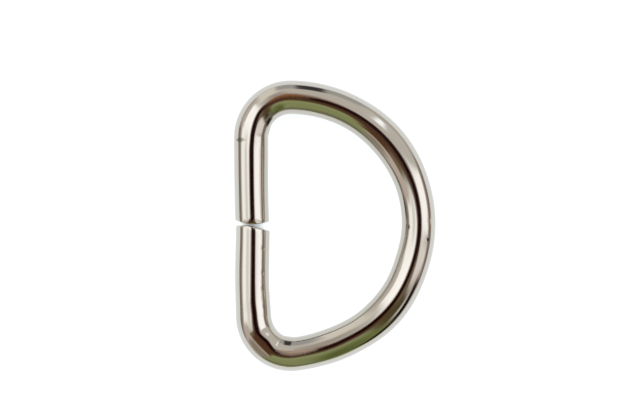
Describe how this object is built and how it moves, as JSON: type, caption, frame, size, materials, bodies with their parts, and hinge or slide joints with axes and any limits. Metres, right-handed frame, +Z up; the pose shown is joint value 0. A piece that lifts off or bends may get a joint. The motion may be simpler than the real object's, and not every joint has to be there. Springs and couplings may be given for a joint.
{
  "type": "d ring",
  "caption": "D ring of bent round wire, plated bright, with a straight split bar for a strap and a half-round bow for a hook, cord or second strap.",
  "frame": {"origin": "centre of the ring's bounding box in X and Y, at the height of the surface it lies on", "axes": "+Z up from the surface it lies on, +Y along the straight bar, +X from the bar towards the top of the bow"},
  "size_m": [0.0226, 0.0326, 0.0038],
  "materials": {
    "nickel_plated_wire": "bright nickel plate on drawn steel wire"
  },
  "bodies": {
    "root": {"ring": "nickel_plated_wire"}
  },
  "joints": []
}
